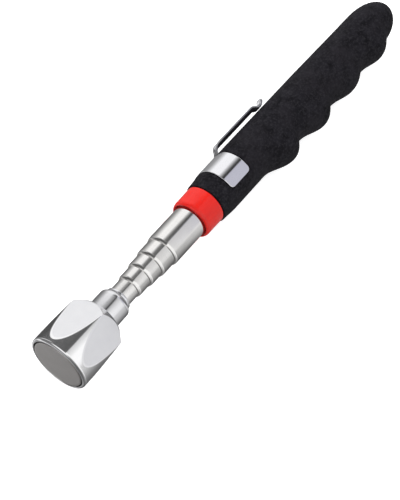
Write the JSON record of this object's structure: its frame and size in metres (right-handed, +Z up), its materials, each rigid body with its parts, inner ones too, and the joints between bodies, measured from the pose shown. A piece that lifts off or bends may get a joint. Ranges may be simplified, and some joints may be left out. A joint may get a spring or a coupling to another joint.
{
  "type": "magnetic pickup tool",
  "caption": "Telescoping magnetic pickup tool: magnet head with ground flats, nested sliding tubes, collar, finger-grooved foam grip and sprung pocket clip.",
  "frame": {"origin": "centre of the magnet's flat face", "axes": "+X along the tool from the magnet's face to the handle's tail, +Y towards the pocket clip, -Y towards the finger bumps, +Z up; the tool is stored collapsed and lying on its side"},
  "size_m": [0.2165, 0.0262, 0.024],
  "materials": {
    "chrome": "polished bright plating",
    "clip_chrome": "bright plated spring steel",
    "stainless_tube": "polished stainless steel",
    "nickel_face": "satin ground steel",
    "magnet_body": "sintered magnet",
    "steel_plate": "plain turned steel",
    "black_spacer": "matte black",
    "sleeve_brass": "rolled brass strip",
    "red_plastic": "glossy red",
    "core_plastic": "moulded black",
    "black_foam": "matte closed-cell foam"
  },
  "bodies": {
    "handle": {"tube_5": "stainless_tube", "grip_collar": "red_plastic", "grip_liner": "core_plastic", "rear_plug": "core_plastic", "foam_grip": "black_foam", "clip_band": "clip_chrome"},
    "clip_arm": {"clip_arm": "clip_chrome"},
    "sleeve_4": {"friction_sleeve_4": "sleeve_brass"},
    "section_4": {"tube_4": "stainless_tube"},
    "sleeve_3": {"friction_sleeve_3": "sleeve_brass"},
    "section_3": {"tube_3": "stainless_tube"},
    "sleeve_2": {"friction_sleeve_2": "sleeve_brass"},
    "section_2": {"tube_2": "stainless_tube"},
    "sleeve_1": {"friction_sleeve_1": "sleeve_brass"},
    "head": {"tube_1": "stainless_tube", "crimp_ring": "chrome", "neck_collar": "chrome", "neck_screw": "steel_plate", "magnet_housing": "chrome", "spacer_ring": "black_spacer", "pole_disc": "nickel_face", "disc_magnet": "magnet_body", "backing_plate": "steel_plate"}
  },
  "joints": [
    {"name": "slide_4", "type": "slide", "parent": "handle", "child": "sleeve_4", "axis": [-1, 0, 0], "range_m": [0, 0.119]},
    {"name": "spin_4", "type": "hinge", "parent": "sleeve_4", "child": "section_4", "pos_m": [0.182, 0, 0], "axis": [1, 0, 0], "continuous": true},
    {"name": "slide_3", "type": "slide", "parent": "section_4", "child": "sleeve_3", "axis": [-1, 0, 0], "range_m": [0, 0.126]},
    {"name": "spin_3", "type": "hinge", "parent": "sleeve_3", "child": "section_3", "pos_m": [0.182, 0, 0], "axis": [1, 0, 0], "continuous": true},
    {"name": "slide_2", "type": "slide", "parent": "section_3", "child": "sleeve_2", "axis": [-1, 0, 0], "range_m": [0, 0.132]},
    {"name": "spin_2", "type": "hinge", "parent": "sleeve_2", "child": "section_2", "pos_m": [0.182, 0, 0], "axis": [1, 0, 0], "continuous": true},
    {"name": "slide_1", "type": "slide", "parent": "section_2", "child": "sleeve_1", "axis": [-1, 0, 0], "range_m": [0, 0.138]},
    {"name": "spin_1", "type": "hinge", "parent": "sleeve_1", "child": "head", "pos_m": [0.182, 0, 0], "axis": [1, 0, 0], "continuous": true},
    {"name": "clip_flex", "type": "hinge", "parent": "handle", "child": "clip_arm", "pos_m": [0.10515, 0.00935, 0], "axis": [0, 0, 1], "range_deg": [0, 5], "stiffness_Nm_per_rad": 1.2}
  ]
}
